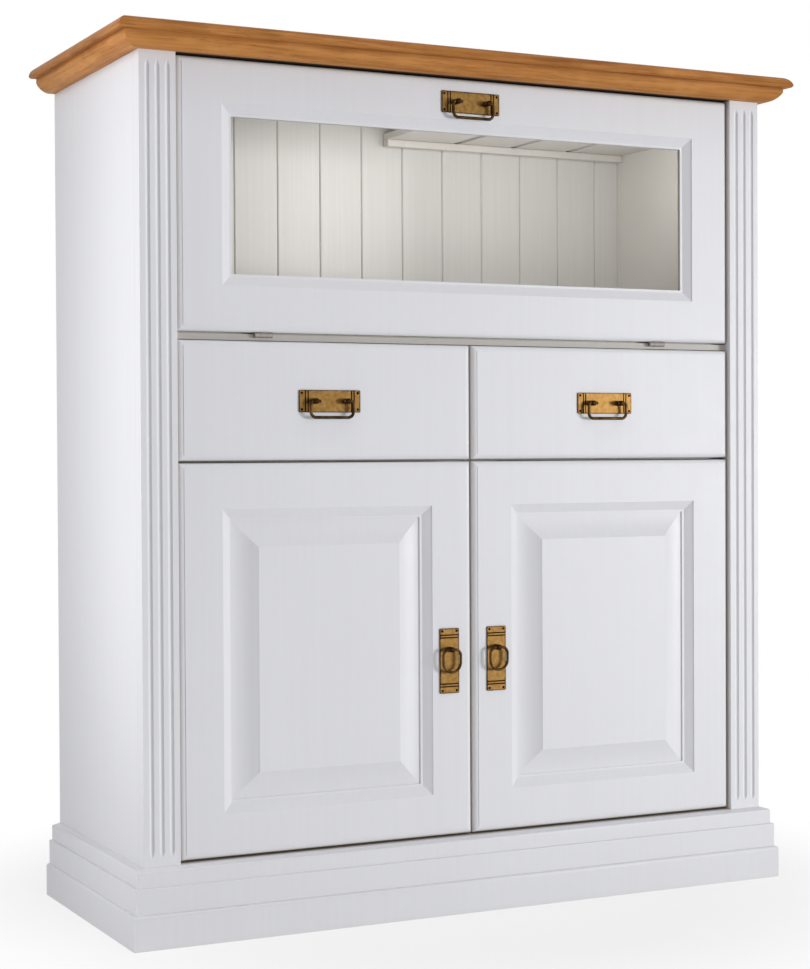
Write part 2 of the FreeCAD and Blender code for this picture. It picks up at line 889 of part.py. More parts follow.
def magnetic_catches():
    """Magnets under the drawer deck for the doors and under the top rail for the flap."""
    pieces = []
    for x, z in (door_catch_place(), flap_catch_place()):
        span = (x - catch_width / 2, x + catch_width / 2)
        depth = (front_back + catch_gap, front_back + catch_gap + catch_depth)
        catch = box(span, depth, (z - catch_height / 2, z + catch_height / 2))
        pieces += [mirrored(catch), catch]
    return pieces


def save_door(name, side):
    """One door: a frame with a raised panel, its hinge cups and its ring pull."""
    x = (middle_gap / 2, half_front)
    z = (door_low, door_high)
    clear = sight(x, z, door_stile, door_bottom_rail, door_top_rail)
    whole = frame(x, z, clear)
    face = front_setback
    tongue_front = face + moulding_depth
    tongue_back = tongue_front + tongue_thickness
    groove_span = (tongue_front, tongue_back + fit_clearance)
    whole = whole.cut(box(grown(clear[0], groove_depth), groove_span, grown(clear[1], groove_depth)))
    pull_x = middle_gap / 2 + door_handle_inset
    pull_z = door_low + door_handle_height
    post = (pull_x, pull_z + ring_post_rise)
    whole = bored(whole, [post])
    for level in door_hinge_levels():
        seat = V(half_front - cup_offset, front_back - cup_depth, level)
        whole = whole.cut(rod(cup_radius, seat, seat + V(0, cup_depth, 0)))
    catch_x, catch_z = door_catch_place()
    plate = strike(catch_x, catch_z)
    whole = whole.cut(plate)
    stiles, rails = split_frame(whole, x, z, clear)
    reach = groove_depth - fit_clearance
    shoulder = face + field_depth + field_step
    foot = tongue_front - fit_clearance
    field = [
        (reach + panel_bevel, face + field_depth),
        (reach + panel_bevel, shoulder),
        ((reach + panel_bevel / 2, foot - (foot - shoulder) / 4), (reach, foot)),
        (reach, tongue_front + fit_clearance / 2),
        (0.0, tongue_front + fit_clearance / 2),
        (0.0, tongue_back),
    ]
    panel = moulded(grown(clear[0], reach), grown(clear[1], reach), field)
    cups = [hinge_cup(level) for level in door_hinge_levels()] + [plate]
    handle = handle_plate(pull_x, pull_z, True, [post])
    pieces = {"stiles": stiles, "rails": rails, "panel": [panel], "fittings": cups, "handle_plate": handle}
    pieces["ring"] = [ring(*post)]
    for part, shapes in pieces.items():
        save(name + "_" + part, [mirrored(shape) for shape in shapes] if side < 0 else shapes)


def flap_hinge(x):
    """One butt hinge of the flap: its fixed leaf, its pin and the flap's leaf."""
    depth, height = flap_hinge_depth, flap_hinge_height
    half_wide, half_middle = hinge_width / 2, hinge_knuckle_middle / 2
    radius = hinge_knuckle_radius
    web = radius + hinge_edge_gap
    flap_under = height + radius + hinge_edge_gap - hinge_leaf_thickness
    fixed_top = flap_under - leaf_gap
    end_start = half_middle + hinge_knuckle_gap
    left, right = V(x - half_wide, depth, height), V(x + half_wide, depth, height)
    bore = rod(hinge_pin_radius + pin_clearance, left, right)

    wide, middle = (x - half_wide, x + half_wide), (x - half_middle, x + half_middle)
    moving = box(wide, (depth + web, depth + hinge_leaf_reach), (flap_under, flap_low))
    moving = moving.fuse(box(middle, (depth, depth + web), (flap_under, flap_low)))
    moving = moving.fuse(rod(radius, V(middle[0], depth, height), V(middle[1], depth, height)))
    moving = moving.cut(bore).removeSplitter()

    leaf_back = front_back + floor_behind_flap - fit_clearance
    fixed_low = fixed_top - hinge_leaf_thickness
    fixed = box(wide, (depth + web, leaf_back), (fixed_low, fixed_top))
    for way in (-1, 1):
        span = tuple(sorted((x + way * end_start, x + way * half_wide)))
        fixed = fixed.fuse(box(span, (depth, depth + web), (fixed_low, fixed_top)))
        fixed = fixed.fuse(rod(radius, V(span[0], depth, height), V(span[1], depth, height)))
    fixed = fixed.cut(bore).removeSplitter()
    return fixed, rod(hinge_pin_radius, left, right), moving


def stay_start():
    """Angle of the flap's stay pivot behind the upright line through the hinge axis."""
    return asin((front_back + stay_pivot_depth - flap_hinge_depth) / stay_radius)


def stay_place(angle):
    """Depth and height of a point at the stay's radius from the hinge axis."""
    return (flap_hinge_depth + stay_radius * sin(angle), flap_hinge_height + stay_radius * cos(angle))


def stay_flap_pivot():
    """Where the stay bar turns on the flap."""
    return stay_place(stay_start())


def stay_guide_pivot():
    """Where the stay guide turns on its batten, as far from the hinge axis as the flap's pivot."""
    return stay_place(stay_start() + radians(stay_start_angle))


def stay_slope():
    """Slope of the stay bar with the flap shut, in degrees."""
    start, end = stay_flap_pivot(), stay_guide_pivot()
    return degrees(atan2(end[1] - start[1], end[0] - start[0]))


def stay_span():
    """Inner and outer faces of the right-hand stay bar."""
    outer = half_opening - stay_bar_inset
    return (outer - stay_bar_thickness, outer)


def stay_bar():
    """Right-hand stay: a flat bar that turns on the flap and slides through the guide."""
    depth, height = stay_flap_pivot()
    pull = 2 * stay_radius * sin(radians(stay_start_angle + stay_open_angle) / 2)
    stop = pull + stay_guide_length / 2 + stay_stop_radius + stop_gap
    half = stay_bar_height / 2
    bar = box(stay_span(), (0.0, stop + half), (-half, half))
    head = rod(half, V(stay_span()[0], 0, 0), V(stay_span()[1], 0, 0))
    knob_end = V((sum(stay_span()) - stay_stop_length) / 2, stop, 0)
    knob = rod(stay_stop_radius, knob_end, knob_end + V(stay_stop_length, 0, 0))
    bar = bar.fuse(head).fuse(knob).removeSplitter()
    bar = bar.cut(rod(stay_eye_radius + pin_clearance, V(stay_span()[0], 0, 0), V(stay_span()[1], 0, 0)))
    bar.rotate(V(0, 0, 0), V(1, 0, 0), stay_slope())
    bar.translate(V(0, depth, height))
    return bar


def stay_guide():
    """Right-hand guide: a slotted block on a spindle that turns in the batten."""
    depth, height = stay_guide_pivot()
    low, high = stay_span()
    span = (low - stay_guide_wall, high + stay_guide_wall)
    half_long, half_tall = stay_guide_length / 2, stay_guide_height / 2
    block = box(span, (-half_long, half_long), (-half_tall, half_tall))
    spindle_end = half_opening + stay_spindle_depth
    block = block.fuse(rod(stay_spindle_radius, V(span[1], 0, 0), V(spindle_end, 0, 0)))
    half_slot = stay_bar_height / 2 + running_gap
    slot = box(grown((low, high), running_gap), (-half_long, half_long), (-half_slot, half_slot))
    block = block.cut(slot).removeSplitter()
    block.rotate(V(0, 0, 0), V(1, 0, 0), stay_slope())
    block.translate(V(0, depth, height))
    return block


def stay_bracket():
    """Bracket on the back of the flap's right-hand stile, with the stay's pivot pin."""
    depth, height = stay_flap_pivot()
    low, high = stay_span()
    half = stay_bracket_height / 2
    inner = high + 2 * running_gap
    block = box((inner, half_front - side_gap), (front_back, depth + half), (height - half, height + half))
    pin = rod(stay_eye_radius, V(low - 2 * running_gap, depth, height), V(inner, depth, height))
    return block.fuse(pin).removeSplitter()


def save_flap():
    """Glazed flap that folds down into a shelf."""
    x = (-half_front, half_front)
    z = (flap_low, flap_high)
    clear = sight(x, z, flap_stile, flap_bottom_rail, flap_top_rail)
    whole = frame(x, z, clear)
    glass_front = front_setback + moulding_depth
    glass_back = glass_front + glass_thickness
    room = (grown(clear[0], rebate_width), grown(clear[1], rebate_width))
    whole = whole.cut(box(room[0], (glass_front, front_back), room[1]))
    pull_z = flap_high - flap_handle_drop
    posts = plain_bail_posts(0.0, pull_z)
    whole = bored(whole, posts)
    catch_x, catch_z = flap_catch_place()
    plate = strike(catch_x, catch_z)
    strikes = [mirrored(plate), plate]
    for piece in strikes:
        whole = whole.cut(piece)
    stiles, rails = split_frame(whole, x, z, clear)
    save("flap_stiles", stiles)
    save("flap_rails", rails)
    pane = (grown(room[0], -fit_clearance), grown(room[1], -fit_clearance))
    save("flap_glass", [box(pane[0], (glass_front, glass_back), pane[1])])

    start, end = (0.0, glass_back + bead_round / 2), (-bead_round, front_back)
    hollow = [
        (0.0, glass_front),
        start,
        (quarter(start, (0.0, front_back), end), end),
        (-bead_round, carcase_front),
    ]
    ring_of_beads = box(pane[0], (glass_back, front_back), pane[1]).cut(moulded(clear[0], clear[1], hollow))
    depth = (glass_back, front_back)
    beads = [
        ring_of_beads.common(box((pane[0][0], clear[0][0]), depth, pane[1])),
        ring_of_beads.common(box((clear[0][1], pane[0][1]), depth, pane[1])),
        ring_of_beads.common(box(clear[0], depth, (pane[1][0], clear[1][0]))),
        ring_of_beads.common(box(clear[0], depth, (clear[1][1], pane[1][1]))),
    ]
    save("flap_glazing_beads", beads)
    save("flap_handle_plate", handle_plate(0.0, pull_z, False, posts))
    save("flap_bail", [bail(0.0, pull_z)])
    hinges = [flap_hinge(side * hinge_spread) for side in (-1, 1)]
    save("flap_hinge_fixed_leaves", [piece for hinge in hinges for piece in hinge[:2]])
    save("flap_hinge_leaves", [hinge[2] for hinge in hinges])
    bracket = stay_bracket()
    save("flap_fittings", [mirrored(bracket), bracket] + strikes)
    for name, side in (("left", -1), ("right", 1)):
        for part, shape in (("stay_bar", stay_bar()), ("stay_guide", stay_guide())):
            save(name + "_" + part, [mirrored(shape) if side < 0 else shape])


def save_carcase():
    """The fixed pieces, from the plinth up."""
    plinth_front, plinth_left, plinth_right, plinth_back = plinth()
    save("plinth_front", [plinth_front])
    save("plinth_sides", [plinth_left, plinth_right])
    save("plinth_back", [plinth_back])
    save("floor_panel", [floor_panel()])
    save("side_panel_left", [mirrored(side_panel())])
    save("side_panel_right", [side_panel()])
    save("pilasters", [mirrored(pilaster()), pilaster()])
    inside = (-half_inside, half_inside)
    save("drawer_deck", [box(inside, (carcase_front, inside_back), (deck_low, deck_high))])
    half_divider = divider_thickness / 2
    divider = box((-half_divider, half_divider), (carcase_front, inside_back), (deck_high, bar_floor_low))
    save("drawer_divider", [divider])
    save("bar_floor", [bar_floor()])
    save("top_rail", [top_rail()])
    save("carcase_top", [carcase_top()])
    save("back_boards", back_boards())
    save("side_battens", side_battens())
    save("rack_boards", rack_boards()[0])
    save("rack_battens", rack_battens())
    save("cupboard_shelf", [cupboard_shelf()])
    save("shelf_pins", shelf_pins())
    save("cornice_moulding", cornice())
    save("top_panel", [box((-half_body, half_body), (0.0, body_depth), (carcase_high, top_high))])
    save("top_nosing", top_nosing())
    arms = [piece for level in door_hinge_levels() for piece in hinge_arm(level)]
    save("door_hinge_arms", [mirrored(piece) for piece in arms] + arms)
    save("magnetic_catches", magnetic_catches())


os.makedirs("parts", exist_ok=True)
save_carcase()
save_flap()
for drawer_name, drawer_side in (("left_drawer", -1), ("right_drawer", 1)):
    save_drawer(drawer_name, drawer_side)
for door_name, door_side in (("left_door", -1), ("right_door", 1)):
    save_door(door_name, door_side)
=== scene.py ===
import math

import bmesh
import bpy
from mathutils import Matrix, Vector


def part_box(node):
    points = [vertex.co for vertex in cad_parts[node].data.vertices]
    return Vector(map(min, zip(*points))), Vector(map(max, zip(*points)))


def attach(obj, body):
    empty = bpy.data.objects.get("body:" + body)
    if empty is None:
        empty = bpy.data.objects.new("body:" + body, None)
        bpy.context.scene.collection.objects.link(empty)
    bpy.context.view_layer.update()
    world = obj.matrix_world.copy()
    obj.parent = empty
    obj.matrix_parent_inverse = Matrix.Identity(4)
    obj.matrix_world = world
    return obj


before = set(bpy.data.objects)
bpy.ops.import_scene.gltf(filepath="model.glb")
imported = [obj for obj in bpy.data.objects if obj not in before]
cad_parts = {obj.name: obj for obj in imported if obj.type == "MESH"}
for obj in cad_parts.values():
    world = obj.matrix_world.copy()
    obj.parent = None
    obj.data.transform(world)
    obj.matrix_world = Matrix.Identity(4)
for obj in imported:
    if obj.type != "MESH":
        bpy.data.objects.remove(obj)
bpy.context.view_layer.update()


# Plinth
# Three stepped tiers of solid wood, mitred at the front corners, with a plain board across the back.
# It is sprayed with the satin white lacquer of the whole outside, with painted beige shade in the corners.
LACQUER_WHITE = (0.797, 0.800, 0.840, 1.0)
LACQUER_SHADE = (0.772, 0.773, 0.805, 1.0)
CORNER_SHADE_BEIGE = (0.70, 0.655, 0.600, 1.0)
SATIN = {"Specular IOR Level": 0.4}
OUTSIDE_REACH = 0.018
CORNER_SAMPLES = 6
SHARP_ANGLE = math.radians(40)


class Nodes:
    """A node tree, and short ways to add nodes to it."""

    def __init__(self, tree):
        self.tree = tree

    def feed(self, node, values):
        """Set inputs of a node to values, or link them to outputs of other nodes."""
        for socket, value in values.items():
            if isinstance(value, bpy.types.NodeSocket):
                self.tree.links.new(value, node.inputs[socket])
            else:
                node.inputs[socket].default_value = value

    def outputs(self, kind, values=None, **settings):
        """The outputs of a new node."""
        node = self.tree.nodes.new("ShaderNode" + kind)
        for setting, value in settings.items():
            setattr(node, setting, value)
        self.feed(node, values or {})
        return node.outputs

    def maths(self, operation, *values):
        """The result of one operation on these values."""
        return self.outputs("Math", dict(enumerate(values)), operation=operation)[0]

    def spread(self, value, low, high):
        """A value from nought to one, spread from low to high."""
        return self.outputs("MapRange", {"Value": value, "To Min": low, "To Max": high})["Result"]

    def rise(self, value, low, high):
        """How far a value has come on its way from low to high, from nought to one."""
        return self.outputs("MapRange", {"Value": value, "From Min": low, "From Max": high})["Result"]

    def mix(self, first, second, share):
        """A value between two values, by the share of the second."""
        return self.outputs("Mix", {"Factor": share, "A": first, "B": second})["Result"]

    def blend(self, first, second, share):
        """A colour between two colours, by the share of the second."""
        values = {"Factor": share, "A": first, "B": second}
        return self.outputs("Mix", values, data_type="RGBA")["Result"]


class Coat(Nodes):
    """The nodes of a material, whose patterns follow the place of each point on its piece."""

    def __init__(self, name):
        self.material = bpy.data.materials.new(name)
        self.material.use_nodes = True
        super().__init__(self.material.node_tree)
        self.shader = self.tree.nodes["Principled BSDF"]
        self.place = self.outputs("TexCoord")["Object"]

    def noise(self, scale, detail):
        """Noise of one scale in every direction."""
        return self.outputs("TexNoise", {"Vector": self.place, "Scale": scale, "Detail": detail})["Fac"]

    def streaks(self, scale, detail, twist=0.0):
        """Noise with a scale for each axis, for grain, brush strokes or drawing marks."""
        drawn = self.outputs("Mapping", {"Vector": self.place, "Scale": scale})["Vector"]
        values = {"Vector": drawn, "Scale": 1.0, "Detail": detail, "Distortion": twist}
        return self.outputs("TexNoise", values)["Fac"]

    def shades(self, factor, *stops):
        """Colours along a factor, from pairs of a place and a colour."""
        ramp = self.tree.nodes.new("ShaderNodeValToRGB")
        self.feed(ramp, {"Fac": factor})
        while len(ramp.color_ramp.elements) < len(stops):
            ramp.color_ramp.elements.new(0.5)
        for element, (place, colour) in zip(ramp.color_ramp.elements, stops):
            element.position = place
            element.color = colour
        return ramp.outputs["Color"]

    def openness(self, reach, low, high):
        """How open a point is to its surroundings within a reach, from nought in a corner to one."""
        near = self.outputs("AmbientOcclusion", {"Distance": reach}, samples=CORNER_SAMPLES)["AO"]
        return self.rise(near, low, high)

    def surface(self, colour, rough, height, strength, depth, others=None):
        """The material, with this colour, roughness and bump, and other inputs of its shader."""
        bump = self.outputs("Bump", {"Height": height, "Strength": strength, "Distance": depth})["Normal"]
        self.feed(self.shader, {"Base Color": colour, "Roughness": rough, "Normal": bump})
        self.feed(self.shader, others or {})
        return self.material

    def give_way(self, other, share):
        """The material, with a share of another shader in the place of its own."""
        mixed = self.outputs("MixShader", {"Fac": share, 1: self.shader.outputs[0], 2: other})[0]
        self.feed(self.tree.nodes["Material Output"], {"Surface": mixed})
        return self.material


def lacquer(name, light, dark, corner, reach, lining=None):
    """Sprayed lacquer: cloudy in tone, a little uneven in gloss, with painted shade of another colour in
    corners.

    A lining is a second colour, and how far from the middle of the cabinet it reaches sideways.
    """
    coat = Coat(name)
    cloud = coat.noise(scale=2.6, detail=3.0)
    strokes = coat.streaks(scale=(130.0, 130.0, 1.8), detail=4.0)
    tone = coat.shades(coat.mix(cloud, strokes, share=0.4), (0.32, dark), (0.66, light))
    if lining:
        lining_colour, lining_reach = lining
        sideways = coat.outputs("SeparateXYZ", {"Vector": coat.place})["X"]
        lined = coat.maths("LESS_THAN", coat.maths("ABSOLUTE", sideways), lining_reach)
        tone = coat.blend(tone, lining_colour, share=lined)
    # Painted shade: the corner colour is laid on where nearby surfaces close a point in.
    colour = coat.blend(corner, tone, share=coat.openness(reach, low=0.15, high=0.6))
    rough = coat.spread(coat.noise(scale=38.0, detail=5.0), low=0.34, high=0.46)
    peel = coat.noise(scale=420.0, detail=2.0)
    return coat.surface(colour, rough, peel, strength=0.05, depth=0.0004, others=SATIN)


def finish(material, *names):
    """Give these pieces a finish."""
    for name in names:
        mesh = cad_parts[name].data
        mesh.materials.clear()
        mesh.materials.append(material)


def ease_edges(*names, width):
    """Take the sharpness off the edges of these pieces, as sanding does."""
    for name in names:
        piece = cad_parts[name]
        weld = piece.modifiers.new("weld", "WELD")
        weld.merge_threshold = 0.00001
        bevel = piece.modifiers.new("eased", "BEVEL")
        bevel.width = width
        bevel.segments = 2
        bevel.limit_method = "ANGLE"
        bevel.angle_limit = SHARP_ANGLE
        bevel.harden_normals = True


white_lacquer = lacquer("white_lacquer", LACQUER_WHITE, LACQUER_SHADE, CORNER_SHADE_BEIGE, OUTSIDE_REACH)
finish(white_lacquer, "plinth_front", "plinth_sides", "plinth_back")
ease_edges("plinth_front", "plinth_sides", "plinth_back", width=0.0006)


# Sides and pilasters
# Flat lacquered side panels, warmer white on the inside, with a fluted pilaster planted on each front edge.
# The seam between the two shows on the side as a fine line.
INSIDE_WHITE = (0.79, 0.765, 0.72, 1.0)
inside_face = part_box("floor_panel")[1][0]
lining = (INSIDE_WHITE, inside_face)
lined_lacquer = lacquer("lined_lacquer", LACQUER_WHITE, LACQUER_SHADE, CORNER_SHADE_BEIGE, OUTSIDE_REACH, lining)
finish(lined_lacquer, "side_panel_left", "side_panel_right")
finish(white_lacquer, "pilasters")
ease_edges("side_panel_left", "side_panel_right", "pilasters", width=0.0008)


# Cupboard, drawer and bar inside
# Panels, battens and the loose shelf on its four plated pins are a warmer white than the outside.
# The lip of the bar floor is painted greyer as shade, and near-black painted shade in the corners of the
# drawer deck makes the gap in front of it read as a dark line.
INSIDE_SHADE = (0.75, 0.722, 0.675, 1.0)
# Painted shade for the corners inside, and for the joints of the back boards.
INNER_CORNER_SHADE = (0.50, 0.44, 0.36, 1.0)
INSIDE_REACH = 0.012
# Painted shade: a near-black corner colour for the deck, behind the gap between drawers and doors.
DECK_GAP_SHADE = (0.12, 0.10, 0.08, 1.0)
# Painted shade: the lip sits back in the gap under the flap, so its white lacquer is given these greyer
# tones.
LIP_IN_SHADE_PALE = (0.500, 0.474, 0.443, 1.0)
LIP_IN_SHADE_DEEP = (0.460, 0.434, 0.404, 1.0)
LIP_REACH = 0.02
PLATED_STEEL = (0.60, 0.59, 0.57, 1.0)
STEEL_SHADE = (0.46, 0.45, 0.44, 1.0)
METAL = {"Metallic": 1.0}


def plated_steel(name, light, dark, polish):
    """Nickel plate with fine drawing marks in its tone and sheen; the polish is its least roughness."""
    coat = Coat(name)
    marks = coat.streaks(scale=(90.0, 90.0, 1400.0), detail=4.0)
    colour = coat.shades(marks, (0.25, dark), (0.75, light))
    rough = coat.spread(marks, low=polish, high=polish + 0.16)
    return coat.surface(colour, rough, marks, strength=0.08, depth=0.0002, others=METAL)


inside_lacquer = lacquer("inside_lacquer", INSIDE_WHITE, INSIDE_SHADE, INNER_CORNER_SHADE, INSIDE_REACH)
finish(inside_lacquer, "floor_panel", "drawer_divider", "carcase_top", "cupboard_shelf", "side_battens")
finish(lacquer("deck_gap_shade_lacquer", INSIDE_WHITE, INSIDE_SHADE, DECK_GAP_SHADE, INSIDE_REACH), "drawer_deck")
finish(lacquer("lip_shade_lacquer", LIP_IN_SHADE_PALE, LIP_IN_SHADE_DEEP, CORNER_SHADE_BEIGE, LIP_REACH), "bar_floor")
ease_edges("floor_panel", "drawer_deck", "drawer_divider", "cupboard_shelf", width=0.0006)
ease_edges("bar_floor", "side_battens", width=0.0006)
steel = plated_steel("plated_steel", PLATED_STEEL, STEEL_SHADE, polish=0.24)
finish(steel, "shelf_pins")


# Back boards
# Upright tongue and groove boards with a small V at each joint, lacquered like the inside.
# The wood's upright grain just shows through the thin coat.
BOARD_WHITE = (0.79, 0.776, 0.750, 1.0)
BOARD_SHADE = (0.75, 0.735, 0.706, 1.0)


def boarded_lacquer():
    """Thin lacquer over upright grain, with painted shade in the joints."""
    coat = Coat("boarded_lacquer")
    grain = coat.streaks(scale=(160.0, 160.0, 3.0), detail=6.0)
    tone = coat.shades(grain, (0.25, BOARD_SHADE), (0.7, BOARD_WHITE))
    colour = coat.blend(INNER_CORNER_SHADE, tone, share=coat.openness(reach=0.006, low=0.2, high=0.75))
    rough = coat.spread(grain, low=0.42, high=0.56)
    return coat.surface(colour, rough, grain, strength=0.06, depth=0.0004)


finish(boarded_lacquer(), "back_boards")


# Stemware rack
# Boards hung under the carcase top on hangers, with slots between them for the stems of glasses.
# Their back ends lie on a rail against the back boards.
finish(inside_lacquer, "rack_boards", "rack_battens")
ease_edges("rack_boards", "rack_battens", width=0.001)


# Cornice and top
# Oiled honey-coloured wood: a rounded moulding under a lipped top, in strips mitred at the front corners.
# The grain runs along each strip, and the quirk under the lip and other hollows are darkened with painted
# shade.
# The panel that they frame is glued up from boards that run from side to side.
HONEY_LIGHT = (0.620, 0.280, 0.086, 1.0)
HONEY_MIDDLE = (0.468, 0.190, 0.051, 1.0)
HONEY_DARK = (0.285, 0.106, 0.026, 1.0)
PORE_AND_SHADE_BROWN = (0.150, 0.055, 0.014, 1.0)
OILED = {"Specular IOR Level": 0.05}
MIDDLE_TONE = 0.5
TONE_RANGE = 0.05
TOP_BOARD = 0.092
BOARD_SHIFT = 7.0
side_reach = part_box("side_panel_right")[1][0]
front_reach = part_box("pilasters")[0][1]


def mitred_strips(coat, axis):
    """Places along and over each strip, turned at the mitres, and one tone for all strips."""
    beyond_side = coat.maths("SUBTRACT", coat.maths("ABSOLUTE", axis["X"]), side_reach)
    beyond_front = coat.maths("SUBTRACT", front_reach, axis["Y"])
    nearest = coat.maths("MAXIMUM", beyond_front, 0.0)
    on_side = coat.maths("GREATER_THAN", beyond_side, nearest)
    along = coat.mix(axis["X"], axis["Y"], share=on_side)
    over = coat.mix(axis["Y"], axis["X"], share=on_side)
    return along, over, MIDDLE_TONE


def jointed_boards(coat, axis):
    """Places along and over each board of the panel, and a tone that differs from board to board."""
    number = coat.maths("FLOOR", coat.maths("DIVIDE", axis["Y"], TOP_BOARD))
    tone = coat.outputs("TexWhiteNoise", {"W": number}, noise_dimensions="1D")["Value"]
    along = coat.maths("MULTIPLY_ADD", tone, BOARD_SHIFT, axis["X"])
    return along, axis["Y"], tone


def honey_wood(name, layout, paleness=0.0):
    """Oiled wood whose grain follows the strips or boards of a layout, at its usual tone or paler."""
    coat = Coat(name)
    axis = coat.outputs("SeparateXYZ", {"Vector": coat.place})
    along, over, tone = layout(coat, axis)
    coat.place = coat.outputs("CombineXYZ", {"X": along, "Y": over, "Z": axis["Z"]})["Vector"]
    rings = coat.streaks(scale=(3.2, 44.0, 54.0), detail=4.0, twist=1.6)
    grain = coat.streaks(scale=(9.0, 230.0, 280.0), detail=7.0, twist=0.3)
    pores = coat.streaks(scale=(26.0, 1500.0, 1500.0), detail=2.0)
    blotch = coat.streaks(scale=(11.0, 24.0, 24.0), detail=3.0, twist=0.8)
    figure = coat.mix(rings, grain, share=0.45)
    blotched = coat.mix(figure, blotch, share=0.3)
    paler = coat.spread(tone, low=paleness - TONE_RANGE, high=paleness + TONE_RANGE)
    toned = coat.maths("ADD", blotched, paler)
    wood = coat.shades(toned, (0.34, HONEY_DARK), (0.5, HONEY_MIDDLE), (0.64, HONEY_LIGHT))
    pored = coat.blend(PORE_AND_SHADE_BROWN, wood, share=coat.rise(pores, low=0.28, high=0.36))
    # Painted shade in the quirk and other hollows, in the colour of the pores.
    colour = coat.blend(PORE_AND_SHADE_BROWN, pored, share=coat.openness(reach=0.02, low=0.1, high=0.7))
    rough = coat.spread(grain, low=0.36, high=0.52)
    return coat.surface(colour, rough, figure, strength=0.12, depth=0.0005, others=OILED)


# The moulding is made paler than the nosing as painted light from below and painted sheen.
finish(honey_wood("honey_wood_painted_light", mitred_strips, paleness=0.06), "cornice_moulding")
finish(honey_wood("honey_wood", mitred_strips, paleness=-0.02), "top_nosing")
finish(honey_wood("jointed_honey_wood", jointed_boards), "top_panel")
ease_edges("top_panel", width=0.0004)


# Rail over the flap
# A rail behind the cornice that ties the sides together and stops the flap.
# It is coloured nearly black as painted shade, so that the gap over the flap reads as a shadow line.
RAIL_SHADE_BLACK = (0.022, 0.015, 0.011, 1.0)
RAIL_SHADE_GRAIN = (0.050, 0.034, 0.024, 1.0)


def stained_wood():
    """Nearly black painted shade over straight grain."""
    coat = Coat("stained_wood")
    grain = coat.streaks(scale=(4.0, 160.0, 160.0), detail=6.0)
    colour = coat.shades(grain, (0.35, RAIL_SHADE_BLACK), (0.7, RAIL_SHADE_GRAIN))
    rough = coat.spread(grain, low=0.55, high=0.7)
    return coat.surface(colour, rough, grain, strength=0.1, depth=0.0004)


finish(stained_wood(), "top_rail")


# Flap
# A frame of stiles and rails with a moulded inner edge, lacquered white, which folds down as a shelf.
# Loose beads behind the pane hold it in its rebate.
PURE_WHITE = (1.0, 1.0, 1.0, 1.0)
GLASS = {"Transmission Weight": 1.0, "IOR": 1.12}


def clear_glass():
    """Float glass that lets light and shade through."""
    coat = Coat("clear_glass")
    wave = coat.noise(scale=6.0, detail=1.0)
    coat.surface(PURE_WHITE, 0.0, wave, strength=0.02, depth=0.001, others=GLASS)
    ray = coat.outputs("LightPath")
    passing = coat.maths("MAXIMUM", ray["Is Shadow Ray"], ray["Is Diffuse Ray"])
    through = coat.outputs("BsdfTransparent", {"Color": PURE_WHITE})[0]
    return coat.give_way(through, share=passing)


finish(white_lacquer, "flap_stiles", "flap_rails", "flap_glazing_beads")
finish(clear_glass(), "flap_glass")


# Flap hinges and stays
# Two butt hinges let into the lip of the bar floor; their knuckles show in the gap under the flap.
# On each side a plated bar turns on a bracket on the flap.
# It slides through a guide that turns on the batten there.
# Painted shade: the hinge nickel is darkened to sit in the shade of the gap under the flap; the screws and
# nails use the same material.
HINGE_IN_SHADE_PALE = (0.34, 0.318, 0.296, 1.0)
HINGE_IN_SHADE_DEEP = (0.275, 0.256, 0.238, 1.0)
shaded_nickel = plated_steel("shaded_nickel", HINGE_IN_SHADE_PALE, HINGE_IN_SHADE_DEEP, polish=0.6)
finish(shaded_nickel, "flap_hinge_fixed_leaves", "flap_hinge_leaves")
for fitting in ("left_stay_bar", "right_stay_bar", "left_stay_guide", "right_stay_guide", "flap_fittings"):
    finish(steel, fitting)
    ease_edges(fitting, width=0.0004)


# Drawers
# Plain lacquered fronts with a stepped and rounded edge, on boxes of pale varnished wood.
# The bottom is a thin sheet held in grooves in the sides.
BOX_LIGHT = (0.66, 0.50, 0.31, 1.0)
BOX_DARK = (0.52, 0.36, 0.19, 1.0)


def box_wood(name, scale):
    """Pale varnished wood with its grain along the longest way of the board."""
    coat = Coat(name)
    grain = coat.streaks(scale, detail=7.0, twist=0.4)
    colour = coat.shades(grain, (0.3, BOX_DARK), (0.65, BOX_LIGHT))
    rough = coat.spread(grain, low=0.4, high=0.55)
    return coat.surface(colour, rough, grain, strength=0.08, depth=0.0004)


boards_along = box_wood("box_wood_along", scale=(70.0, 2.5, 70.0))
boards_across = box_wood("box_wood_across", scale=(2.5, 70.0, 70.0))
for side in ("left", "right"):
    finish(white_lacquer, side + "_drawer_front")
    finish(boards_along, side + "_drawer_sides")
    finish(boards_across, side + "_drawer_back", side + "_drawer_bottom")
    ease_edges(side + "_drawer_sides", side + "_drawer_back", side + "_drawer_bottom", width=0.0008)


# Doors
# Stiles and rails with a moulded inner edge round a raised panel, all lacquered white.
# Plated cups in the hinge stiles turn on cranked arms screwed to the battens; magnets hold the doors shut.
CATCH_WHITE = (0.78, 0.77, 0.74, 1.0)
CATCH_SHADE = (0.70, 0.69, 0.66, 1.0)


def moulded_plastic():
    """Cream plastic with a fine spark-eroded texture."""
    coat = Coat("moulded_plastic")
    speckle = coat.noise(scale=900.0, detail=2.0)
    colour = coat.shades(speckle, (0.3, CATCH_SHADE), (0.7, CATCH_WHITE))
    rough = coat.spread(speckle, low=0.45, high=0.6)
    return coat.surface(colour, rough, speckle, strength=0.1, depth=0.0002)


for side in ("left", "right"):
    finish(white_lacquer, side + "_door_stiles", side + "_door_rails", side + "_door_panel")
    finish(steel, side + "_door_fittings")
finish(steel, "door_hinge_arms")
finish(moulded_plastic(), "magnetic_catches")
ease_edges("door_hinge_arms", "magnetic_catches", width=0.0006)


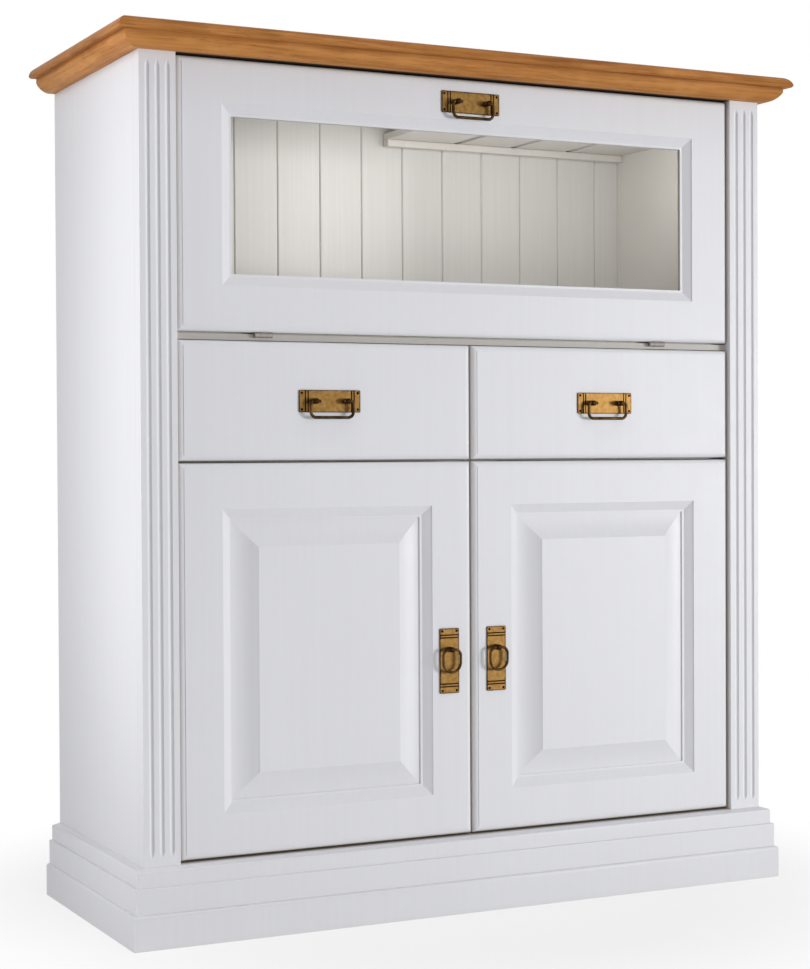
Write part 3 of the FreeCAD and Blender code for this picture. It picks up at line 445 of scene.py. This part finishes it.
# Handle plates
# Stamped brass plates with scored lines, pinned at the corners, aged dark along the edges and in the lines.
# Turned posts screwed through the plates carry the bails and rings.
BRASS_BRIGHT = (0.222, 0.126, 0.040, 1.0)
BRASS_AGED = (0.134, 0.070, 0.020, 1.0)
BRASS_EDGE = (0.010, 0.005, 0.0025, 1.0)
POST_BROWN = (0.026, 0.013, 0.005, 1.0)
SCORE_LINES = (0.011, 0.0155)
SCORE_HALF = 0.0011
RIM_BLUR = 0.0020
RIM_CLEAR = 0.0030
RIM_DARK = 0.0012
PIN_INSET = (0.0045, 0.0045, 0.0)
PIN_RADIUS = 0.0022
PLATE_THICKNESS = 0.002
POST_START = 0.0013
plate_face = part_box("left_drawer_front")[0][1] - PLATE_THICKNESS


def antique_brass(name, node, long_axis):
    """Aged brass, cloudy over the plate, and dark on its rim, scored lines, pins and posts."""
    coat = Coat(name)
    low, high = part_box(node)
    axis = coat.outputs("SeparateXYZ", {"Vector": coat.place})
    inward = {}
    for letter, index in (("X", 0), ("Z", 2)):
        middle = (low[index] + high[index]) / 2
        half = (high[index] - low[index]) / 2
        away = coat.maths("ABSOLUTE", coat.maths("SUBTRACT", axis[letter], middle))
        inward[letter] = coat.maths("SUBTRACT", half, away)
    rim = coat.maths("MINIMUM", inward["X"], inward["Z"])
    cloud = coat.noise(scale=140.0, detail=6.0)
    blurred = coat.maths("MULTIPLY_ADD", cloud, RIM_BLUR, rim)
    dark = coat.rise(blurred, low=RIM_CLEAR, high=RIM_DARK)
    for line in SCORE_LINES:
        scored = coat.maths("COMPARE", inward[long_axis], line, SCORE_HALF)
        dark = coat.maths("MAXIMUM", dark, scored)
    corner = coat.outputs("CombineXYZ", {"X": inward["X"], "Y": inward["Z"]})["Vector"]
    from_pin = coat.outputs("VectorMath", {0: corner, 1: PIN_INSET}, operation="DISTANCE")["Value"]
    dark = coat.maths("MAXIMUM", dark, coat.maths("LESS_THAN", from_pin, PIN_RADIUS))
    brass = coat.shades(cloud, (0.3, BRASS_AGED), (0.68, BRASS_BRIGHT))
    on_post = coat.maths("LESS_THAN", axis["Y"], plate_face - POST_START)
    brass = coat.blend(brass, POST_BROWN, share=on_post)
    colour = coat.blend(brass, BRASS_EDGE, share=dark)
    rough = coat.spread(cloud, low=0.30, high=0.48)
    return coat.surface(colour, rough, cloud, strength=0.08, depth=0.0003, others=METAL)


for owner in ("flap", "left_drawer", "right_drawer", "left_door", "right_door"):
    plate = owner + "_handle_plate"
    long_axis = "Z" if owner.endswith("door") else "X"
    finish(antique_brass("antique_brass_" + owner, plate, long_axis), plate)
    ease_edges(plate, width=0.0002)


# Bails and rings
# Round brass wire bent to shape, browned by handling, with brighter metal where fingers rub it.
# The bails hang from two posts each and the rings from one.
WIRE_BROWN = (0.026, 0.014, 0.005, 1.0)
WIRE_RUBBED = (0.100, 0.056, 0.018, 1.0)


def browned_brass():
    """Browned wire, rubbed in patches."""
    coat = Coat("browned_brass")
    rubbed = coat.noise(scale=70.0, detail=5.0)
    colour = coat.shades(rubbed, (0.35, WIRE_BROWN), (0.72, WIRE_RUBBED))
    rough = coat.spread(rubbed, low=0.42, high=0.28)
    return coat.surface(colour, rough, rubbed, strength=0.1, depth=0.0003, others=METAL)


wire = browned_brass()
finish(wire, "flap_bail", "left_drawer_bail", "right_drawer_bail", "left_door_ring", "right_door_ring")


# Screws and nails
# Slotted steel screws hold the strike plates, stay brackets, magnetic catches and hinge arms.
# Two nails a board at each level panel behind it hold the back boards.
SCREW_RADIUS = 0.0022
SCREW_SLOT = 0.0008
NAIL_RADIUS = 0.0024
HEAD_RISE = 0.0004
SHOULDER_RISE = 0.6 * HEAD_RISE
CROWN_SHARE = 0.75
HEAD_STEPS = 14
HEAD_TURN = 1.3
STRIKE_SCREW = 0.015
DOOR_STRIKE = (0.0325, 0.7353)
FLAP_STRIKE = (0.2225, 1.3450)
STAY_BRACKET = (0.5068, -0.1510, 1.0685)
CATCH_MIDDLE = -0.1617
CATCH_UNDERSIDE = (0.7288, 1.3385)
ARM_FOOT = (0.4785, -0.1470)
ARM_LEVELS = (0.2155, 0.6510)
BOARD_WIDTH = 0.0835
BOARD_COUNT = 14
LAST_BOARD = 0.527
NAIL_OFFSET = 0.020
strike_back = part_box("left_door_stiles")[1][1]
back_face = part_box("back_boards")[1][1]
backward = (0.0, 1.0, 0.0)
downward = (0.0, 0.0, -1.0)


def head_outlines(radius, slot):
    """The round outline of a head, or its two halves beside a slot."""
    if not slot:
        turns = [2 * math.pi * step / HEAD_STEPS for step in range(HEAD_STEPS)]
        return [[(radius * math.cos(turn), radius * math.sin(turn)) for turn in turns]]
    start = math.asin(slot / 2 / radius)
    turns = [start + (math.pi - 2 * start) * step / HEAD_STEPS for step in range(HEAD_STEPS + 1)]
    half = [(radius * math.cos(turn), radius * math.sin(turn)) for turn in turns]
    return [half, [(-x, -y) for x, y in half]]


def driven_heads(name, body, slot, radius, facing, places):
    """Low domed heads that face one way, each turned as it was driven."""
    heads = bmesh.new()
    square_on = Vector(facing).to_track_quat("Z", "Y").to_matrix().to_4x4()
    for order, place in enumerate(places):
        stand = Matrix.Translation(place) @ square_on @ Matrix.Rotation(HEAD_TURN * order, 4, "Z")
        for foot, crown in zip(head_outlines(radius, slot), head_outlines(CROWN_SHARE * radius, slot)):
            rings = []
            for outline, rise in ((foot, 0.0), (foot, SHOULDER_RISE), (crown, HEAD_RISE)):
                rings.append([heads.verts.new(stand @ Vector((x, y, rise))) for x, y in outline])
            heads.faces.new(reversed(rings[0]))
            heads.faces.new(rings[-1])
            for low, high in zip(rings, rings[1:]):
                for step in range(len(foot)):
                    heads.faces.new((low[step - 1], low[step], high[step], high[step - 1]))
    mesh = bpy.data.meshes.new(name)
    heads.to_mesh(mesh)
    heads.free()
    piece = bpy.data.objects.new(name, mesh)
    bpy.context.scene.collection.objects.link(piece)
    mesh.materials.append(shaded_nickel)
    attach(piece, body)


def screws(name, body, facing, places):
    """Slotted screws at these places."""
    driven_heads(name, body, SCREW_SLOT, SCREW_RADIUS, facing, places)


def either_side(middles, offset):
    """A place on each side of these places."""
    return [middle + way * offset for middle in middles for way in (-1, 1)]


def strike_pairs(reach):
    """The two screws of each of a pair of strikes or catches, as far out on the left as on the right."""
    return either_side(either_side([0.0], reach), STRIKE_SCREW)


flap_screws = [(x, strike_back, FLAP_STRIKE[1]) for x in strike_pairs(FLAP_STRIKE[0])]
flap_screws += [(way * STAY_BRACKET[0],) + STAY_BRACKET[1:] for way in (-1, 1)]
screws("flap_screws", "flap", backward, flap_screws)
for side, way in (("left", -1), ("right", 1)):
    strike_middle = way * DOOR_STRIKE[0]
    strike_screws = [(x, strike_back, DOOR_STRIKE[1]) for x in either_side([strike_middle], STRIKE_SCREW)]
    screws(side + "_strike_screws", side + "_door", backward, strike_screws)
    arm_screws = [(way * ARM_FOOT[0], ARM_FOOT[1], level) for level in ARM_LEVELS]
    screws(side + "_arm_screws", "cabinet", (-way, 0.0, 0.0), arm_screws)
catch_screws = []
for reach, underside in zip((DOOR_STRIKE[0], FLAP_STRIKE[0]), CATCH_UNDERSIDE):
    catch_screws += [(x, CATCH_MIDDLE, underside) for x in strike_pairs(reach)]
screws("catch_screws", "cabinet", downward, catch_screws)

board_middles = [(number - (BOARD_COUNT - 1) / 2) * BOARD_WIDTH for number in range(BOARD_COUNT)]
board_middles = [max(-LAST_BOARD, min(LAST_BOARD, middle)) for middle in board_middles]
nails = []
for panel in ("floor_panel", "drawer_deck", "bar_floor", "carcase_top"):
    low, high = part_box(panel)
    nails += [(x, back_face, (low[2] + high[2]) / 2) for x in either_side(board_middles, NAIL_OFFSET)]
driven_heads("back_nails", "cabinet", 0.0, NAIL_RADIUS, backward, nails)


# Floor, light and camera
# A pale floor that runs out to white, and the photo's viewpoint.
# A soft lamp stands far off in front to the right, a strip on the left and one overhead.
# A weak lamp on the floor throws light up at the front, and a small one is in the bar.
FLOOR_PALE = (0.93, 0.93, 0.93, 1.0)
FLOOR_BOUNCE = (0.80, 0.80, 0.80, 1.0)
FLOOR_HALF = 9.0
WHITENING = {"From Min": 0.45, "From Max": 1.0, "To Min": 0.66, "To Max": 1.0}
STUDIO_GLOW = 0.41
SEEN_GLOW = 1.0
VIEW_TURN = math.radians(26.45)
VIEW_TILT = math.radians(-0.92)
VIEW_ROLL = math.radians(-0.28)
VIEW_PLACE = Vector((-1.5930, -3.1450, 0.7569))
LENS_LENGTH = 75.41
SENSOR_WIDTH = 36.0
FAR_LIMIT = 60.0


def seen_rays(nodes):
    """One for rays from the camera or from a mirror or glass surface, else nought."""
    ray = nodes.outputs("LightPath")
    seen = nodes.maths("MAXIMUM", ray["Is Camera Ray"], ray["Is Glossy Ray"])
    return nodes.maths("MAXIMUM", seen, ray["Is Transmission Ray"])


def pale_floor():
    """Matt floor: pale where it is seen, and white away from the cabinet."""
    coat = Coat("pale_floor")
    rough = coat.spread(coat.noise(scale=300.0, detail=2.0), low=0.85, high=0.95)
    seen = seen_rays(coat)
    colour = coat.blend(FLOOR_BOUNCE, FLOOR_PALE, share=seen)
    coat.feed(coat.shader, {"Base Color": colour, "Roughness": rough, "Specular IOR Level": 0.0})
    far = coat.outputs("VectorMath", {0: coat.place}, operation="LENGTH")["Value"]
    fade = coat.outputs("MapRange", {"Value": far, **WHITENING}, interpolation_type="SMOOTHSTEP")["Result"]
    white = coat.outputs("Emission", {"Color": PURE_WHITE, "Strength": 1.0})[0]
    return coat.give_way(white, share=coat.maths("MULTIPLY", fade, seen))


def soft_lamp(name, place, target, size, power):
    """A soft lamp of a width and height that faces a point, and isn't itself seen."""
    lamp = bpy.data.lights.new(name, "AREA")
    lamp.shape = "RECTANGLE"
    lamp.size, lamp.size_y = size
    lamp.energy = power
    holder = bpy.data.objects.new(name, lamp)
    holder.location = place
    holder.rotation_euler = (Vector(target) - Vector(place)).to_track_quat("-Z", "Y").to_euler()
    holder.visible_camera = False
    holder.visible_transmission = False
    bpy.context.scene.collection.objects.link(holder)


sheet = bpy.data.meshes.new("floor")
corners = [(x * FLOOR_HALF, y * FLOOR_HALF, 0.0) for x, y in ((-1, -1), (1, -1), (1, 1), (-1, 1))]
sheet.from_pydata(corners, [], [(0, 1, 2, 3)])
floor = bpy.data.objects.new("floor", sheet)
bpy.context.scene.collection.objects.link(floor)
sheet.materials.append(pale_floor())

world = bpy.data.worlds.new("studio")
world.use_nodes = True
bpy.context.scene.world = world
studio = Nodes(world.node_tree)
glow = studio.spread(seen_rays(studio), low=STUDIO_GLOW, high=SEEN_GLOW)
studio.feed(world.node_tree.nodes["Background"], {"Strength": glow, "Color": PURE_WHITE})

soft_lamp("front_lamp", place=(6.4, -6.4, 0.7), target=(0.0, -0.2, 0.75), size=(2.6, 1.2), power=362.0)
soft_lamp("side_lamp", place=(-1.05, -0.2, 0.97), target=(-0.575, -0.1, 0.97), size=(0.12, 1.55), power=3.5)
soft_lamp("top_lamp", place=(0.4, -1.05, 3.2), target=(0.1, -0.2, 0.9), size=(1.6, 0.4), power=7.0)
soft_lamp("floor_lamp", place=(0.2, -1.15, 0.02), target=(0.2, -1.15, 1.0), size=(2.4, 1.3), power=2.2)
soft_lamp("bar_lamp", place=(0.17, -0.09, 1.23), target=(0.17, 0.21, 1.31), size=(0.64, 0.05), power=0.68)

ahead = Vector((
    math.sin(VIEW_TURN) * math.cos(VIEW_TILT),
    math.cos(VIEW_TURN) * math.cos(VIEW_TILT),
    math.sin(VIEW_TILT),
))
level = Vector((math.cos(VIEW_TURN), -math.sin(VIEW_TURN), 0.0))
upward = level.cross(ahead)
right = math.cos(VIEW_ROLL) * level + math.sin(VIEW_ROLL) * upward
up = math.cos(VIEW_ROLL) * upward - math.sin(VIEW_ROLL) * level
lens = bpy.data.cameras.new("camera")
lens.lens = LENS_LENGTH
lens.sensor_width = SENSOR_WIDTH
lens.clip_end = FAR_LIMIT
camera = bpy.data.objects.new("camera", lens)
camera.matrix_world = Matrix((
    (right.x, up.x, -ahead.x, VIEW_PLACE.x),
    (right.y, up.y, -ahead.y, VIEW_PLACE.y),
    (right.z, up.z, -ahead.z, VIEW_PLACE.z),
    (0.0, 0.0, 0.0, 1.0),
))
bpy.context.scene.collection.objects.link(camera)
bpy.context.scene.camera = camera
bpy.context.scene.view_settings.view_transform = "Standard"
